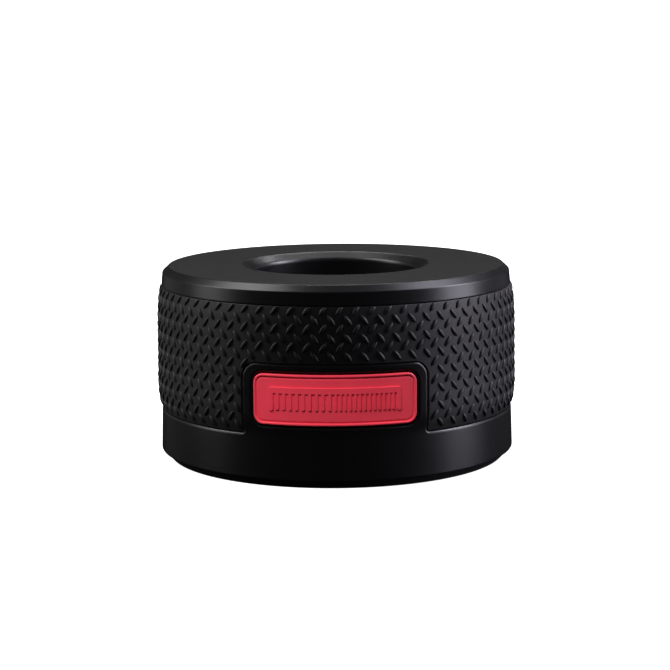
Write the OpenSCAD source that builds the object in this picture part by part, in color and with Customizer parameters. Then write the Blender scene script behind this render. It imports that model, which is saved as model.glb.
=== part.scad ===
// Round charging base for a cordless hair clipper.
// Millimetres, +Z up, underside at z = 0, badge towards -Y, supply inlet towards +Y.

/* [Overall] */
// Diameter of the lower housing at its bottom edge
base_d = 88; // [84:0.5:100]
// Overall height from the table to the flat top
base_h = 47.6; // [47:0.2:58]

/* [Shell] */
// Wall thickness of the lower housing
wall = 2; // [1.6:0.1:2.6]
// Height of the rubber foot that shows under the housing
foot_h = 2.1; // [1.6:0.1:3]
// Height of the lower housing's outer skirt edge
skirt_top = 12.6; // [12.4:0.1:16]
// Width of the sloped edge round the flat top
cap_chamfer = 1.55; // [0.8:0.05:2.4]
// Height of the top cover's visible side and sloped edge
cap_side = 4.8; // [3.8:0.1:6]
// Radial thickness of the grip sleeve
grip_t = 1.75; // [1.4:0.05:2.2]

/* [Well] */
// Diameter of the round well that the clipper stands in
well_d = 41.8; // [36:0.2:46]
// Depth of the well below the flat top
well_depth = 25.6; // [22:0.2:25.6]
// Wall thickness of the well
well_wall = 1.6; // [1.2:0.1:2]

/* [Badge] */
// Half angle of the badge round the housing
badge_half_angle = 25.6; // [18:0.2:26]
// Height of the badge
badge_h = 12; // [9:0.2:13]
// Height of the badge's centre above the table
badge_z = 21.1; // [20.5:0.1:22]
// Border of housing plastic at each side of the badge
tab_border = 2.3; // [1.6:0.1:3]

/* [Contacts] */
// Distance between neighbouring contact pins
contact_pitch = 8; // [6:0.5:9]
// Radius of a plunger's shaft
plunger_r = 1.0; // [0.8:0.05:1.2]
// How far a plunger stands out of the well floor
plunger_out = 2.6; // [2.2:0.1:3]
// Travel of a plunger
plunger_travel = 1.8; // [1:0.1:2]
// Number of turns in a plunger's spring
spring_turns = 6; // [4:1:8]

/* [Inlet] */
// Radius of the opening that takes the plug's barrel
inlet_r = 3.1; // [2.6:0.1:3.2]
// Radius of the centre pin in the inlet
inlet_pin_r = 1.05; // [0.8:0.05:1.2]

/* [Weight and fixings] */
// Diameter of the ballast ring
ballast_d = 54; // [44:1:55]
// Thickness of the ballast ring
ballast_t = 4; // [2.5:0.5:4]
// Radius of the circle that the four cover screws stand on
cover_screw_pcr = 31.6; // [31.6:0.1:33]
// Radial clearance between parts that only slide together at assembly
fit_gap = 0.05; // [0.02:0.01:0.1]
// Visible gap round the badge and round its tab
show_gap = 0.35; // [0.2:0.05:0.5]

/* [Hidden] */
$fn = 96;

r0 = base_d / 2;                       // skirt's bottom edge
skirt_r = r0 - 0.33;                   // skirt's top edge
skirt_in = r0 - wall;
tube_out = r0 - 1.5;                   // tube that carries the grip sleeve
tube_in = tube_out - 1.9;
cap_z = base_h - cap_side;             // underside of the top cover's rim
well_r = well_d / 2;
well_out = well_r + well_wall;
rim_r = well_r + 2.3;                  // where the rim's slope meets the flat top
floor_z = base_h - well_depth;         // floor that the clipper stands on
floor_t = 2;
flange_z = base_h - 9.6;               // joint between the top cover and the well
flange_r = well_out + 7.3;
well_screw_r = well_out + 4.0;
block_h = 8;
board_t = 1.6;
board_top = floor_z - floor_t - block_h;
post_r = well_out - 7.5;               // circle of the three board posts
board_r = post_r + 2.5;
cover_top = foot_h + 2;                // inside face of the bottom cover
inlet_z = (foot_h + skirt_top) / 2 + 0.65;
ballast_top = cover_top + ballast_t;
ballast_hole = 6;
ballast_screw_pcr = ballast_hole + 14;
barrel_r = plunger_r + 1.0;
flange_pin_r = plunger_r + 0.5;
neck_t = 0.8;
barrel_floor = board_top + 0.7;
spring_top = floor_z - neck_t - 0.05 - 1.75;
tab_r = r0 - 0.3;
tape_in = tab_r - 1.1;
badge_in = tape_in + 0.25;
badge_out = r0 + 0.02;
badge_w = 2 * r0 * sin(badge_half_angle);
tab_w = badge_w + 2 * tab_border;
tab_top = badge_z + badge_h / 2 + tab_border + 0.2;
grip_in = tube_out + fit_gap;
grip_out = grip_in + grip_t;
jack_front = tube_in - 0.45;          // face of the jack against the housing's pad
jack_len = 11;
jack_back = jack_front - jack_len;
jack_h = inlet_z - cover_top;          // half height: the jack stands on the bottom cover
bezel_back = r0 - 1.4;
lead_r = 0.6;
pin_x = [0, -contact_pitch, contact_pitch];

// ---------- shared shapes ----------

// Rounded rectangle, drawn from exact circles
module plate2d(w, h, r) {
  square([w - 2 * r, h], center = true);
  square([w, h - 2 * r], center = true);
  for (x = [-1, 1], y = [-1, 1])
    translate([x * (w / 2 - r), y * (h / 2 - r)]) circle(r = r);
}

// Prism with a rounded outline that runs from the axis towards -Y
module front_prism(w, z0, z1, r) {
  translate([0, 0, (z0 + z1) / 2]) rotate([90, 0, 0])
    linear_extrude(height = r0 + 6) plate2d(w, z1 - z0, r);
}

module tube(ri, ro, z0, z1) {
  rotate_extrude() translate([ri, z0]) square([ro - ri, z1 - z0]);
}

module rod(r, z0, z1) {
  translate([0, 0, z0]) cylinder(r = r, h = z1 - z0);
}

// Cylinder along +Y between two y values at the inlet's height
module rod_y(r, y0, y1, z = inlet_z) {
  translate([0, y0, z]) rotate([-90, 0, 0]) cylinder(r = r, h = y1 - y0);
}

module ring_of(r, count, start) {
  for (i = [0 : count - 1])
    rotate([0, 0, start + i * 360 / count]) translate([r, 0, 0]) children();
}

// Pan-head screw: head below z = 0, shank above it, cross recess in the head
module screw(head_r, head_h, shank_r, len) {
  difference() {
    rotate_extrude() polygon([
      [0, -head_h], [head_r * 0.62, -head_h], [head_r * 0.9, -head_h * 0.72],
      [head_r, -head_h * 0.3], [head_r, 0], [shank_r, 0],
      [shank_r, len - shank_r], [shank_r * 0.35, len], [0, len]
    ]);
    for (a = [0, 90]) rotate([0, 0, a])
      translate([-head_r * 0.5, -head_r * 0.11, -head_h - 1])
        cube([head_r, head_r * 0.22, 1 + head_h * 0.55]);
  }
}

// Round bar swept along a list of points, with one side direction for each point
module swept(path, side, up, r, sides = 12) {
  n = len(path);
  points = [
    for (i = [0 : n - 1], k = [0 : sides - 1])
      path[i] + r * cos(360 * k / sides) * side[i] + r * sin(360 * k / sides) * up[i]
  ];
  faces = concat(
    [[for (k = [0 : sides - 1]) k]],
    [for (i = [0 : n - 2], k = [0 : sides - 1])
      [i * sides + k, (i + 1) * sides + k,
       (i + 1) * sides + (k + 1) % sides, i * sides + (k + 1) % sides]],
    [[for (k = [sides - 1 : -1 : 0]) (n - 1) * sides + k]]
  );
  polyhedron(points = points, faces = faces, convexity = 6);
}

// ---------- shell ----------

module top_cover() color("#1a1a1c") {
  skirt_z = cap_z - 5.85;
  difference() {
    rotate_extrude() polygon([
      [well_r, flange_z], [well_out, flange_z], [well_out, base_h - 2.4],
      [tube_in - 1.9, base_h - 2.4], [tube_in - 1.9, skirt_z], [tube_in - 0.1, skirt_z],
      [tube_in - 0.1, cap_z - 4.5], [tube_in + 0.25, cap_z - 4.1],
      [tube_in + 0.25, cap_z - 3.7], [tube_in - 0.1, cap_z - 3.3],
      [tube_in - 0.1, cap_z], [r0 - 0.7, cap_z], [r0 - 1.0, base_h - cap_chamfer + 0.07],
      [r0 - 1.0 - cap_chamfer, base_h], [rim_r, base_h],
      [well_r + 1.0, base_h - 0.55], [well_r, base_h - 1.7]
    ]);
    // four slots let the skirt flex over its snap edge
    for (a = [0 : 90 : 270]) rotate([0, 0, a + 20])
      translate([tube_in - 5, -1, skirt_z - 1]) cube([6, 2, 5]);
  }
  ring_of(well_screw_r, 3, 30) difference() {
    rod(3, flange_z, base_h - 2.2);
    rod(1.2, flange_z - 1, base_h - 3.4);
  }
}

module well_cup() color("#151517") {
  difference() {
    union() {
      rotate_extrude() polygon([
        [0, floor_z - floor_t], [well_out - 2.2, floor_z - floor_t],
        [well_out, floor_z + 0.2], [well_out, flange_z - 2], [flange_r, flange_z - 2],
        [flange_r, flange_z], [well_r, flange_z], [well_r, floor_z + 3.5],
        [well_r - 1.1, floor_z + 1.1], [well_r - 2.9, floor_z], [0, floor_z]
      ]);
      ring_of(post_r, 3, 30) rod(2.6, board_top, floor_z - floor_t + 0.5);
    }
    ring_of(post_r, 3, 30) rod(1.0, board_top - 1, board_top + 6);
    ring_of(well_screw_r, 3, 30) rod(1.6, flange_z - 3, flange_z + 1);
    for (x = pin_x) translate([x, 0, 0])
      rod(barrel_r + fit_gap, floor_z - floor_t - 1, floor_z + 1);
  }
}

module grip_sleeve() color("#202022") {
  difference() {
    rotate_extrude() polygon([
      [grip_in, skirt_top], [r0 - 0.65, skirt_top], [r0 - 0.22, skirt_top + 1.2],
      [grip_out - 0.12, skirt_top + 3.4], [grip_out, skirt_top + 6.5],
      [grip_out - 0.15, skirt_top + 13], [grip_out - 0.2, cap_z - 7],
      [grip_out - 0.35, cap_z - 3.4], [r0 - 0.5, cap_z - 1.2], [r0 - 0.8, cap_z],
      [grip_in, cap_z]
    ]);
    front_prism(tab_w + 2 * show_gap, skirt_top - 8, tab_top + show_gap, 3.5 + show_gap);
  }
}

module lower_housing() color("#1c1c1e") {
  difference() {
    union() {
      // skirt, shelf and the tube inside the grip sleeve
      rotate_extrude() polygon([
        [r0 - 0.25, foot_h], [r0, foot_h + 0.3], [skirt_r, skirt_top - 0.35],
        [skirt_r - 0.35, skirt_top], [tube_out, skirt_top], [tube_out, cap_z],
        [tube_in, cap_z], [tube_in, cap_z - 3.15], [tube_in + 0.35, cap_z - 3.6],
        [tube_in + 0.35, cap_z - 4.2], [tube_in, cap_z - 4.65],
        [tube_in, skirt_top - 2.2], [skirt_in, skirt_top - 2.2], [skirt_in, foot_h]
      ]);
      // tab that frames the badge
      intersection() {
        tube(tube_out - 0.5, tab_r, skirt_top - 0.4, tab_top + 1);
        front_prism(tab_w, skirt_top - 8, tab_top, 3.5);
      }
      // bosses for the cover screws, webbed to the wall
      ring_of(cover_screw_pcr, 4, 45) {
        rod(3.2, cover_top, skirt_top + 5);
        translate([0, -1.1, cover_top]) cube([r0 - 1.2 - cover_screw_pcr, 2.2, skirt_top - cover_top - 1]);
        translate([0, -1.1, skirt_top - 2]) cube([tube_in + 0.6 - cover_screw_pcr, 2.2, 7]);
      }
      // pad that the jack's face rests on
      intersection() {
        translate([-6.5, jack_front, cover_top + 0.2])
          cube([13, 2.2, skirt_top - cover_top - 1.2]);
        rod(r0 - 1, foot_h, skirt_top);
      }
    }
    ring_of(cover_screw_pcr, 4, 45) rod(1.25, cover_top - 1, skirt_top + 3);
    // pocket for the badge and its tape
    difference() {
      front_prism(badge_w + 2 * show_gap, badge_z - badge_h / 2 - show_gap,
                  badge_z + badge_h / 2 + show_gap, 2.4 + show_gap);
      rod(tape_in, foot_h - 1, base_h);
    }
    // inlet opening with its counterbore
    rod_y(3.7 + fit_gap, jack_front - 1, r0 + 1);
    rod_y(4.2 + fit_gap, bezel_back, r0 + 2);
  }
}

module badge() color("#c8323f") {
  z0 = badge_z - badge_h / 2;
  z1 = badge_z + badge_h / 2;
  intersection() {
    union() {
      tube(badge_in, badge_out - 0.45, z0, z1);
      // raised rim
      difference() {
        tube(badge_in, badge_out, z0, z1);
        front_prism(badge_w - 2.2, z0 + 1.1, z1 - 1.1, 1.4);
      }
      // plain comb relief: a spine with teeth below it
      intersection() {
        tube(badge_in, badge_out - 0.1, z0, z1);
        union() {
          front_prism(badge_w * 0.62, badge_z + 0.7, badge_z + 2.7, 0.95);
          for (i = [-9 : 9])
            translate([i * badge_w * 0.0323 - 0.32, -r0 - 5, badge_z - 2.6 + (abs(i) > 7 ? 0 : 0.3)])
              cube([0.64, 15, 3.6]);
        }
      }
    }
    front_prism(badge_w, z0, z1, 2.4);
  }
}

module badge_tape() color("#d8d4c8") {
  intersection() {
    tube(tape_in, badge_in, badge_z - badge_h / 2, badge_z + badge_h / 2);
    front_prism(badge_w - 1.4, badge_z - badge_h / 2 + 0.7, badge_z + badge_h / 2 - 0.7, 1.7);
  }
}

module bottom_cover() color("#18181a") {
  difference() {
    union() {
      rotate_extrude() polygon([
        [0, foot_h], [skirt_in - 0.35, foot_h], [skirt_in - 0.15, foot_h + 0.2],
        [skirt_in - 0.15, cover_top], [0, cover_top]
      ]);
      // pegs that centre the ballast
      ring_of(ballast_screw_pcr, 3, 90) rod(2.6, cover_top, ballast_top - 0.3);
      // cradle at the jack's sides and behind it
      for (s = [-1, 1]) translate([s * 5.1 - 0.5, jack_back + 1, cover_top - 0.5])
        cube([1, jack_len - 4, 4.5]);
      translate([-4, jack_back - 1.2, cover_top - 0.5]) cube([8, 1.2, 2.6]);
    }
    // groove for the foot ring's tongue and a shallow plain panel
    tube(r0 - 6.4, r0 - 4.4, foot_h - 1, foot_h + 0.8);
    rod(20, foot_h - 1, foot_h + 0.3);
    ring_of(cover_screw_pcr, 4, 45) rod(1.65, foot_h - 1, cover_top + 1);
    ring_of(ballast_screw_pcr, 3, 90) rod(1.1, foot_h + 0.7, ballast_top);
  }
}

module foot_ring() color("#0e0e0f") {
  rotate_extrude() polygon([
    [r0 - 8, 0.4], [r0 - 7.6, 0], [r0 - 3.1, 0], [r0 - 2.7, 0.4], [r0 - 2.7, foot_h],
    [r0 - 4.45, foot_h], [r0 - 4.45, foot_h + 0.75], [r0 - 6.35, foot_h + 0.75],
    [r0 - 6.35, foot_h], [r0 - 8, foot_h]
  ]);
}

module ballast_weight() color("#6d6f72") {
  difference() {
    rotate_extrude() polygon([
      [ballast_hole, cover_top], [ballast_d / 2 - 0.6, cover_top],
      [ballast_d / 2, cover_top + 0.6], [ballast_d / 2, ballast_top - 0.6],
      [ballast_d / 2 - 0.6, ballast_top], [ballast_hole, ballast_top]
    ]);
    ring_of(ballast_screw_pcr, 3, 90) rod(2.6 + fit_gap, cover_top - 1, ballast_top + 1);
    // room for the cover screws' bosses and for the jack, on a ring wide enough to reach them
    ring_of(cover_screw_pcr, 4, 45) rod(3.5, cover_top - 1, ballast_top + 1);
    translate([-6.2, jack_back - 2.1, cover_top - 1]) cube([12.4, r0, ballast_t + 2]);
  }
}

// ---------- contacts ----------

module contact_block() color("#2b2d30") {
  difference() {
    translate([-contact_pitch - 4, -4, board_top]) cube([2 * contact_pitch + 8, 8, block_h]);
    for (x = pin_x) translate([x, 0, 0])
      rod(barrel_r + fit_gap, board_top - 1, floor_z);
    // lightening pockets between the barrels
    for (s = [-1, 1], f = [-1, 1])
      translate([s * contact_pitch / 2 - 0.9, f * 3.2 - 1.2, board_top + 1.5])
        cube([1.8, 2.4, block_h - 3]);
  }
}

module pin_barrels() color("#c9a24a") {
  for (x = pin_x) translate([x, 0, 0]) {
    rotate_extrude() polygon([
      [0, board_top], [barrel_r, board_top], [barrel_r, floor_z],
      [plunger_r + fit_gap, floor_z], [plunger_r + fit_gap, floor_z - neck_t],
      [flange_pin_r + fit_gap, floor_z - neck_t], [flange_pin_r + fit_gap, barrel_floor],
      [0, barrel_floor]
    ]);
    rod(0.45, board_top - board_t - 0.6, board_top + 0.1);
  }
}

module plunger(x) color("#dcb75c") translate([x, 0, 0]) {
  tip = floor_z + plunger_out;
  rotate_extrude() union() {
    polygon([
      [0, spring_top], [flange_pin_r - 0.2, spring_top], [flange_pin_r, spring_top + 0.2],
      [flange_pin_r, spring_top + 1.75], [plunger_r, spring_top + 1.75],
      [plunger_r, tip - plunger_r], [0, tip - plunger_r]
    ]);
    intersection() {
      translate([0, tip - plunger_r]) circle(r = plunger_r);
      translate([0, tip - plunger_r - 0.05]) square([plunger_r, plunger_r + 0.1]);
    }
  }
}

module contact_pin_centre() plunger(pin_x[0]);
module contact_pin_left() plunger(pin_x[1]);
module contact_pin_right() plunger(pin_x[2]);

// Compression spring with one closed turn at each end
module coil(x) color("#b9bcc0") {
  wire = 0.16;
  mean = flange_pin_r - wire - 0.08;
  steps = 18;
  count = spring_turns * steps;
  span = spring_top - barrel_floor - 0.04 - 2 * wire;
  closed = 2 * wire + 0.03;
  z_at = function (u) barrel_floor + 0.02 + wire
    + (u < 1 ? closed * u
       : u > spring_turns - 1 ? span - closed * (spring_turns - u)
       : closed + (u - 1) * (span - 2 * closed) / (spring_turns - 2));
  path = [for (i = [0 : count]) let (a = 360 * i / steps)
    [x + mean * cos(a), mean * sin(a), z_at(i / steps)]];
  side = [for (i = [0 : count]) let (a = 360 * i / steps) [cos(a), sin(a), 0]];
  up = [for (i = [0 : count]) [0, 0, 1]];
  swept(path, side, up, wire, 8);
}

module pin_spring_centre() coil(pin_x[0]);
module pin_spring_left() coil(pin_x[1]);
module pin_spring_right() coil(pin_x[2]);

// ---------- electronics ----------

module circuit_board() color("#1f5a34") {
  difference() {
    rod(board_r, board_top - board_t, board_top);
    ring_of(post_r, 3, 30) rod(1.3, board_top - board_t - 1, board_top + 1);
    for (x = pin_x) translate([x, 0, 0]) rod(0.5, board_top - board_t - 1, board_top + 1);
    for (i = [-1, 1]) translate([i * 4.9 - 0.6, -8.5, 0])
      rod(0.35, board_top - board_t - 1, board_top + 1);
  }
}

module charge_chip() color("#111112") {
  translate([2.5, 6.2, board_top]) {
    translate([0, 0, 0.15]) cube([5, 4, 1.5]);
    for (i = [0 : 3]) translate([0.4 + i * 1.27, -0.9, 0]) cube([0.4, 5.8, 0.4]);
  }
}

module smoothing_capacitor() color("#20304e") {
  translate([-5.5, 9, 0]) rotate_extrude() polygon([
    [0, board_top], [2.3, board_top], [2.5, board_top + 0.3], [2.5, board_top + 0.9],
    [2.35, board_top + 1.1], [2.5, board_top + 1.3], [2.5, board_top + 6.1],
    [2.2, board_top + 6.4], [0, board_top + 6.4]
  ]);
}

module sense_resistor() color("#c9b48a") {
  translate([-4, -8.5, board_top + 1.2]) rotate([0, 90, 0]) rotate_extrude() polygon([
    [0, 0], [0.85, 0.1], [1.1, 0.5], [1.1, 1.5], [0.9, 1.9], [0.9, 4.9], [1.1, 5.3],
    [1.1, 6.3], [0.85, 6.7], [0, 6.8]
  ]);
  for (s = [-1, 1]) {
    translate([-0.6 + s * 4.9, -8.5, 0]) rod(0.3, board_top - board_t - 0.4, board_top + 1.5);
    translate([-0.6 + s * 4.05 - 1.15, -8.5, board_top + 1.2])
      rotate([0, 90, 0]) cylinder(r = 0.29, h = 2.3);
  }
}

// ---------- supply inlet ----------

module dc_jack() color("#121213") {
  difference() {
    union() {
      translate([-4.6, jack_back, inlet_z - jack_h]) cube([9.2, jack_len, 2 * jack_h]);
      rod_y(3.7, jack_front - 0.5, bezel_back);
    }
    rod_y(inlet_r, jack_back + 3, r0 + 2);
    rod_y(inlet_pin_r + 0.2, jack_back - 1, jack_back + 3.5);
    // slot for the leaf contact
    translate([-inlet_r - 0.75, jack_back - 1, inlet_z - 1.3])
      cube([1.2, jack_len - 1, 2.6]);
  }
}

module jack_centre_pin() color("#d8d2c0") {
  turned_pin(inlet_pin_r, jack_back - 0.2, jack_back + 3, bezel_back - 0.4);
  translate([-1, jack_back - 0.7, inlet_z - 0.25]) cube([4.3, 0.7, 0.5]);
  translate([1.7, jack_back - 1.9, inlet_z - 0.25]) cube([1.6, 1.9, 0.5]);
}

// Turned pin along +Y: a thicker root held in the jack, then a free end with a rounded tip
module turned_pin(r, y0, y_root, y1) {
  translate([0, y0, inlet_z]) rotate([-90, 0, 0]) rotate_extrude() polygon([
    [0, 0], [r + 0.2, 0], [r + 0.2, y_root - y0], [r, y_root - y0],
    [r, y1 - y0 - 0.7], [r * 0.8, y1 - y0 - 0.25], [r * 0.45, y1 - y0], [0, y1 - y0]
  ]);
}

// Thin strip in the jack's side slot, bowed towards the plug
module jack_leaf_contact() color("#cfae5f") {
  x0 = -inlet_r - 0.55;
  translate([0, 0, inlet_z - 1.1]) linear_extrude(height = 2.2) polygon([
    [x0, jack_back - 0.7], [x0 + 0.3, jack_back - 0.7], [x0 + 0.3, jack_back + 3.2],
    [x0 + 0.8, jack_back + 5.2], [x0 + 0.8, jack_back + 6.2], [x0 + 0.3, jack_back + 8.4],
    [x0, jack_back + 8.4], [x0 + 0.5, jack_back + 6.1], [x0 + 0.5, jack_back + 5.3],
    [x0, jack_back + 3.4]
  ]);
  translate([x0, jack_back - 0.7, inlet_z - 0.25]) cube([0.4 + inlet_r - 1.7, 0.4, 0.5]);
  translate([-3.3, jack_back - 1.9, inlet_z - 0.25]) cube([1.6, 1.6, 0.5]);
}

module inlet_bezel() color("#27282b") {
  translate([0, bezel_back, inlet_z]) rotate([-90, 0, 0]) rotate_extrude() polygon([
    [inlet_r, 0], [4.2, 0], [4.2, r0 - bezel_back - 0.3], [3.9, r0 - bezel_back],
    [inlet_r + 0.25, r0 - bezel_back], [inlet_r, r0 - bezel_back - 0.25]
  ]);
}

// Insulated lead from a jack tail over the board's edge, one bend after the other
module lead(x) {
  ya = jack_back - 1.2;
  za = inlet_z + 0.25 + lead_r;
  zt = board_top + 4;
  yb = 14.2;
  b = 2.9;
  bend = function (cy, cz, a0, a1) [for (i = [0 : 8]) let (a = a0 + (a1 - a0) * i / 8)
    [x, cy + b * cos(a), cz + b * sin(a)]];
  turn = function (a0, a1) [for (i = [0 : 8]) let (a = a0 + (a1 - a0) * i / 8)
    [0, cos(a), sin(a)]];
  yc = min(board_r + 4.45, ya - b - 0.2);
  path = concat([[x, ya, za]], bend(yc + b, za + b, -90, -180),
                bend(yc - b, zt - b, 0, 90), bend(yb + b, zt - b, 90, 180),
                [[x, yb, board_top + 0.01]]);
  side = concat([[0, 0, -1]], turn(-90, -180),
                [for (v = turn(0, 90)) -v], [for (v = turn(90, 180)) -v], [[0, 1, 0]]);
  swept(path, side, [for (p = path) [1, 0, 0]], lead_r, 14);
}

module lead_positive() color("#a8241f") lead(2.5);
module lead_negative() color("#1b1b1b") lead(-2.5);

// ---------- fixings ----------

module cover_screws() color("#9a9da1") {
  ring_of(cover_screw_pcr, 4, 45) translate([0, 0, foot_h]) screw(2.9, 1.5, 1.25, 9.5);
}

module well_screws() color("#9a9da1") {
  ring_of(well_screw_r, 3, 30) translate([0, 0, flange_z - 2]) screw(2.5, 1.5, 1.2, 7);
}

module board_screws() color("#9a9da1") {
  ring_of(post_r, 3, 30) translate([0, 0, board_top - board_t]) screw(2.1, 1.3, 1.0, 6);
}

module ballast_screws() color("#9a9da1") {
  ring_of(ballast_screw_pcr, 3, 90) translate([0, 0, ballast_top]) rotate([180, 0, 0])
    screw(3.7, 1.5, 1.1, 4.6);
}

// ---------- nodes ----------

top_cover();
well_cup();
grip_sleeve();
lower_housing();
badge();
badge_tape();
bottom_cover();
foot_ring();
ballast_weight();
contact_block();
pin_barrels();
contact_pin_centre();
contact_pin_left();
contact_pin_right();
pin_spring_centre();
pin_spring_left();
pin_spring_right();
circuit_board();
charge_chip();
smoothing_capacitor();
sense_resistor();
dc_jack();
jack_centre_pin();
jack_leaf_contact();
inlet_bezel();
lead_positive();
lead_negative();
cover_screws();
well_screws();
board_screws();
ballast_screws();
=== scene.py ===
"""Looks of a round charging base for a hair clipper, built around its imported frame.

Lengths below are in millimetres and become metres when a mesh is made. The base stands on z = 0,
its badge faces -Y and its supply inlet +Y. Wherever a surface wraps round the base it is worked
out on the unrolled wall: u is the arc length from the front at RADIUS, z the height, and r the
distance from the axis.
"""
import math

import bmesh
import bpy
import numpy as np
from mathutils import Matrix, Vector
from mathutils.geometry import delaunay_2d_cdt


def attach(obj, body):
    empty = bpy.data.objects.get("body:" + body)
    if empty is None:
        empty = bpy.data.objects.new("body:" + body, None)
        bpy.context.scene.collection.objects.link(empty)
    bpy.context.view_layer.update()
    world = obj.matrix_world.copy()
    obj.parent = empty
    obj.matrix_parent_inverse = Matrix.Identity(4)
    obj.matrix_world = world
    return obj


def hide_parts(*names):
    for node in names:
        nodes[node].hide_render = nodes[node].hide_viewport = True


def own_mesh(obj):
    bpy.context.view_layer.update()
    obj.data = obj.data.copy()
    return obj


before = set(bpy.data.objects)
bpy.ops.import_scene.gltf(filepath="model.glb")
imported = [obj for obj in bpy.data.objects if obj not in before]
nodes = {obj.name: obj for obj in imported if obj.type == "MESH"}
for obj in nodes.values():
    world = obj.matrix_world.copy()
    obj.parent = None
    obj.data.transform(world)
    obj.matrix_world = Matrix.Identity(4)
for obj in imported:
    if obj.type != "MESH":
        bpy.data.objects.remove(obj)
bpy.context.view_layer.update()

MM = 0.001
RADIUS = 44.0                     # radius that u is measured at
TURN = 2 * math.pi * RADIUS

# heights
FOOT_TOP = 2.1
COVER_TOP = 4.1                   # upper face of the bottom cover
SKIRT_TOP = 12.62
BAND_BOTTOM, BAND_TOP = 12.72, 42.8
CAP_BOTTOM = 42.85                # lower edge of the top cover's rim
TOP = 47.6
WELL_FLOOR = 22.0
WELL_JOINT = 38.0                 # where the well cup meets the top cover
# radii
WELL_R = 20.9
TUBE_IN, TUBE_OUT = 40.6, 42.5    # the housing's inner tube, which carries the band
SKIRT_IN, SKIRT_OUT = 42.0, 44.0
# the tab that frames the badge, and the badge
TAB_HALF, TAB_TOP, TAB_CORNER = 22.55, 29.5, 3.7
BADGE_HALF, BADGE_LOW, BADGE_HIGH, BADGE_CORNER = 19.65, 15.1, 27.1, 2.4
BADGE_Z = (BADGE_LOW + BADGE_HIGH) / 2
TAB_GAP = 0.08
INLET_Z = 8.0


# ---------------------------------------------------------------- making meshes

def grid_faces(rows, cols, wrap=False, flip=False, start=0):
    """Quads of a grid stored row by row. wrap joins the last column to the first."""
    j = np.arange(cols if wrap else cols - 1)
    k = (j + 1) % cols
    i = np.arange(rows - 1)[:, None] * cols
    quads = np.stack([i + j, i + k, i + cols + k, i + cols + j], -1).reshape(-1, 4)
    return (quads[:, ::-1] if flip else quads) + start


class Shape:
    """Points and faces gathered from several surfaces that make one piece."""

    def __init__(self):
        self.points, self.faces, self.count = [], [], 0

    def add(self, points, *faces):
        points = np.asarray(points, float).reshape(-1, 3)
        self.points.append(points)
        self.faces += [np.asarray(f, int) + self.count for f in faces if len(f)]
        self.count += len(points)
        return self

    def grid(self, points, wrap=False, flip=False):
        """points has shape (rows, columns, 3)."""
        return self.add(points, grid_faces(*points.shape[:2], wrap, flip))


def make(name, shape, body, material, replaced=(), sharp=35.0):
    """One piece at the origin. Coincident points are welded, and edges sharper than `sharp` degrees
    stay crisp."""
    points = np.concatenate(shape.points) * MM
    counts = np.concatenate([np.full(len(f), f.shape[1]) for f in shape.faces])
    corners = np.concatenate([f.ravel() for f in shape.faces])
    mesh = bpy.data.meshes.new(name)
    mesh.vertices.add(len(points))
    mesh.vertices.foreach_set("co", points.ravel())
    mesh.loops.add(len(corners))
    mesh.loops.foreach_set("vertex_index", corners.astype(np.int32))
    mesh.polygons.add(len(counts))
    starts = np.concatenate([[0], np.cumsum(counts)[:-1]])
    mesh.polygons.foreach_set("loop_start", starts.astype(np.int32))
    mesh.update(calc_edges=True)
    work = bmesh.new()
    work.from_mesh(mesh)
    bmesh.ops.remove_doubles(work, verts=work.verts, dist=2e-6)
    bmesh.ops.dissolve_degenerate(work, edges=work.edges, dist=1e-6)
    for face in work.faces:
        face.smooth = True
    work.to_mesh(mesh)
    work.free()
    mesh.set_sharp_from_angle(angle=math.radians(sharp))
    piece = bpy.data.objects.new(name, mesh)
    bpy.context.scene.collection.objects.link(piece)
    mesh.materials.append(material)
    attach(piece, body)
    if replaced:
        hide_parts(*replaced)
    return piece


def place(u, z, r, turn=0.0):
    """Points of the unrolled wall: x = r sin(u / RADIUS + turn), y = -r cos(u / RADIUS + turn)."""
    u, z, r = np.broadcast_arrays(u, z, r)
    a = u / RADIUS + turn
    return np.stack([r * np.sin(a), -r * np.cos(a), z], -1)


def rounded(corners, closed=True, steps=6, support=0.15):
    """Polyline through corners (x, y, radius) with each corner turned into an arc of that radius.

    The arc of radius r between two edges that meet at angle t starts r / tan(t / 2) from the
    corner. One more point lies `support` past each end of an arc, so that smooth shading stays off
    the flats.
    """
    pts = np.array([c[:2] for c in corners], float)
    out = []
    n = len(pts)
    for i in range(n):
        p, r = pts[i], corners[i][2]
        if not closed and i in (0, n - 1) or r == 0:
            out.append(p)
            continue
        a, b = pts[i - 1] - p, pts[(i + 1) % n] - p
        la, lb = np.hypot(*a), np.hypot(*b)
        a, b = a / la, b / lb
        half = math.acos(np.clip(a @ b, -1, 1)) / 2
        back = min(r / math.tan(half), 0.48 * la, 0.48 * lb)
        r = back * math.tan(half)
        centre = p + (a + b) / np.hypot(*(a + b)) * r / math.sin(half)
        first, last = p + a * back - centre, p + b * back - centre
        sweep = math.pi - 2 * half
        sign = math.copysign(1, first[0] * last[1] - first[1] * last[0])
        t = np.linspace(0, sweep, steps + 1)[:, None] * sign
        turned = np.hstack([first[0] * np.cos(t) - first[1] * np.sin(t),
                            first[0] * np.sin(t) + first[1] * np.cos(t)])
        edge_in = p + a * min(back + support, 0.49 * la)
        edge_out = p + b * min(back + support, 0.49 * lb)
        out += [edge_in, *(centre + turned), edge_out]
    return np.array(out)


def revolve(profile, steps=320):
    """The profile (r, z), anticlockwise with r to the right, carried round the axis as a grid."""
    a = np.linspace(0, 2 * math.pi, steps, endpoint=False)
    r, z = profile[:, 0][:, None], profile[:, 1][:, None]
    return np.stack([r * np.sin(a), -r * np.cos(a), z + 0 * a], -1)


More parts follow.
